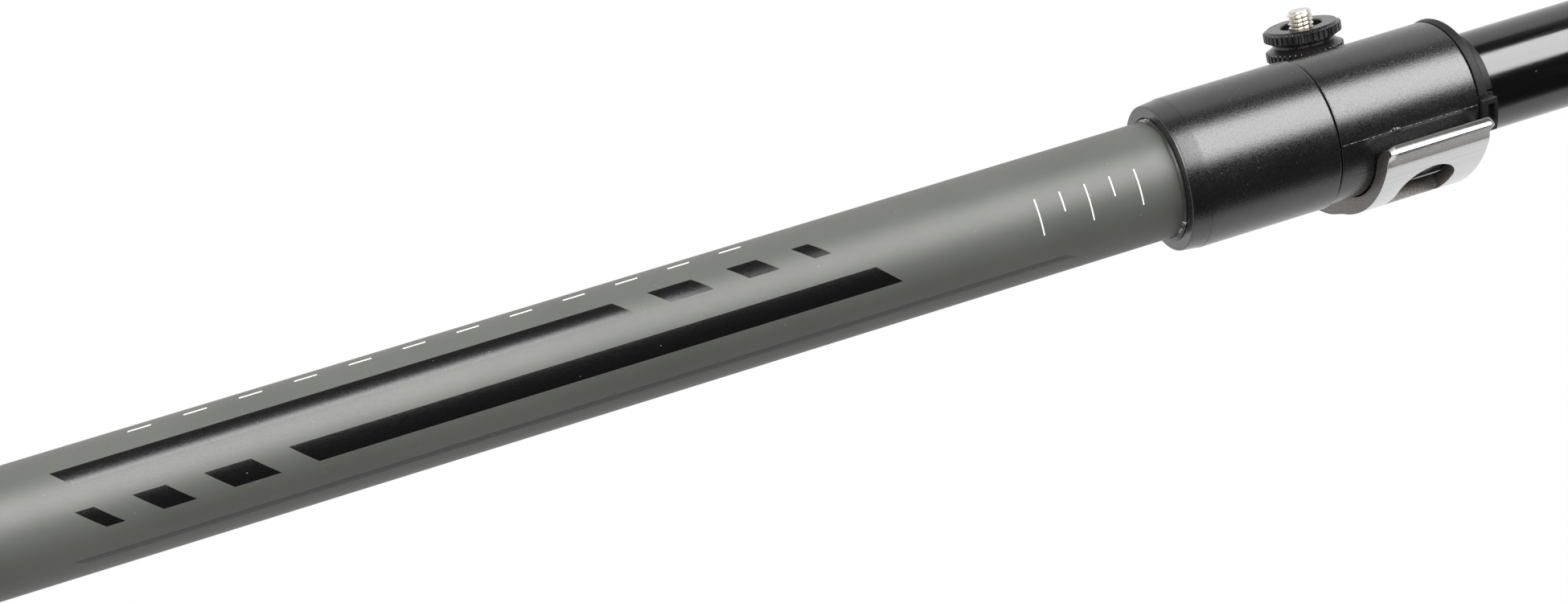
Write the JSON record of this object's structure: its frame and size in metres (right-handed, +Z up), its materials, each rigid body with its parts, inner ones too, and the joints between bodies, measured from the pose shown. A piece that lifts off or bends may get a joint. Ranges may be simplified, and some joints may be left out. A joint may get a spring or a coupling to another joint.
{
  "type": "telescopic prism pole",
  "caption": "Two-section telescopic pole with a lever clamp, thumb nut, circular level, steel point and threaded head for a surveying prism.",
  "frame": {"origin": "tip of the steel ground point", "axes": "+Z up the pole's axis, -Y the clamp's front with the lever's lip, -X the thumb nut and the level"},
  "size_m": [0.0854, 0.0547, 1.2072],
  "materials": {
    "hard_steel": "machined, hardened",
    "bare_aluminium": "turned, clear anodised",
    "polished_aluminium": "extruded and polished, sawn ends",
    "plated_steel": "zinc plated",
    "grey_paint": "matte grey lacquer with printed black and white marks",
    "black_paint": "satin black powder coat",
    "black_plastic": "moulded, fine satin grain",
    "dark_nylon": "moulded, satin",
    "white_nylon": "turned, satin",
    "black_anodised": "black anodised, satin",
    "black_gloss": "gloss black",
    "rubber": "matte",
    "adhesive": "hardened resin",
    "vial_glass": "clear",
    "vial_liquid": "green-yellow spirit",
    "vial_bubble": "air bubble"
  },
  "bodies": {
    "pole": {"steel_point": "hard_steel", "point_ferrule": "bare_aluminium", "ferrule_pin": "hard_steel", "outer_tube": "grey_paint", "level_arm": "black_paint", "level_clamp_back": "black_paint", "level_clamp_liner": "rubber", "level_clamp_screws": "plated_steel", "level_base": "bare_aluminium", "level_adjusters": "plated_steel", "level_vial": "vial_glass", "level_liquid": "vial_liquid", "level_bubble": "vial_bubble", "level_ring": "black_plastic", "fixed_collar": "black_plastic", "glue_fillet": "adhesive", "clamp_ring": "black_plastic", "clamp_sleeve": "dark_nylon"},
    "lever": {"lever": "polished_aluminium", "pivot_pin": "plated_steel"},
    "bolt": {"eye_bolt": "plated_steel"},
    "washer": {"thrust_washer": "plated_steel"},
    "nut": {"thumb_nut": "black_anodised"},
    "inner": {"inner_tube": "black_gloss", "guide_plug": "white_nylon", "end_buffer": "rubber", "head_ferrule": "bare_aluminium", "head_pin": "hard_steel", "head_stud": "hard_steel"}
  },
  "joints": [
    {"name": "inner_slide", "type": "slide", "parent": "pole", "child": "inner", "axis": [0, 0, 1], "range_m": [-0.048, 0.84]},
    {"name": "bolt_release", "type": "slide", "parent": "pole", "child": "bolt", "axis": [-1, 0, 0], "range_m": [0, 0.001]},
    {"name": "lever_hinge", "type": "hinge", "parent": "bolt", "child": "lever", "pos_m": [0.0198, 0.0195, 1.09365], "axis": [0, 0, 1], "range_deg": [0, 150]},
    {"name": "washer_travel", "type": "slide", "parent": "bolt", "child": "washer", "axis": [-1, 0, 0], "range_m": [0, 0.003]},
    {"name": "nut_turn", "type": "hinge", "parent": "washer", "child": "nut", "pos_m": [-0.016, 0.0195, 1.09365], "axis": [-1, 0, 0], "range_deg": [0, 1080]}
  ],
  "couplings": [
    {"joint": "bolt_release", "follows": "lever_hinge", "m_per_rad": 0.00038},
    {"joint": "washer_travel", "follows": "nut_turn", "m_per_rad": 0.000159}
  ]
}
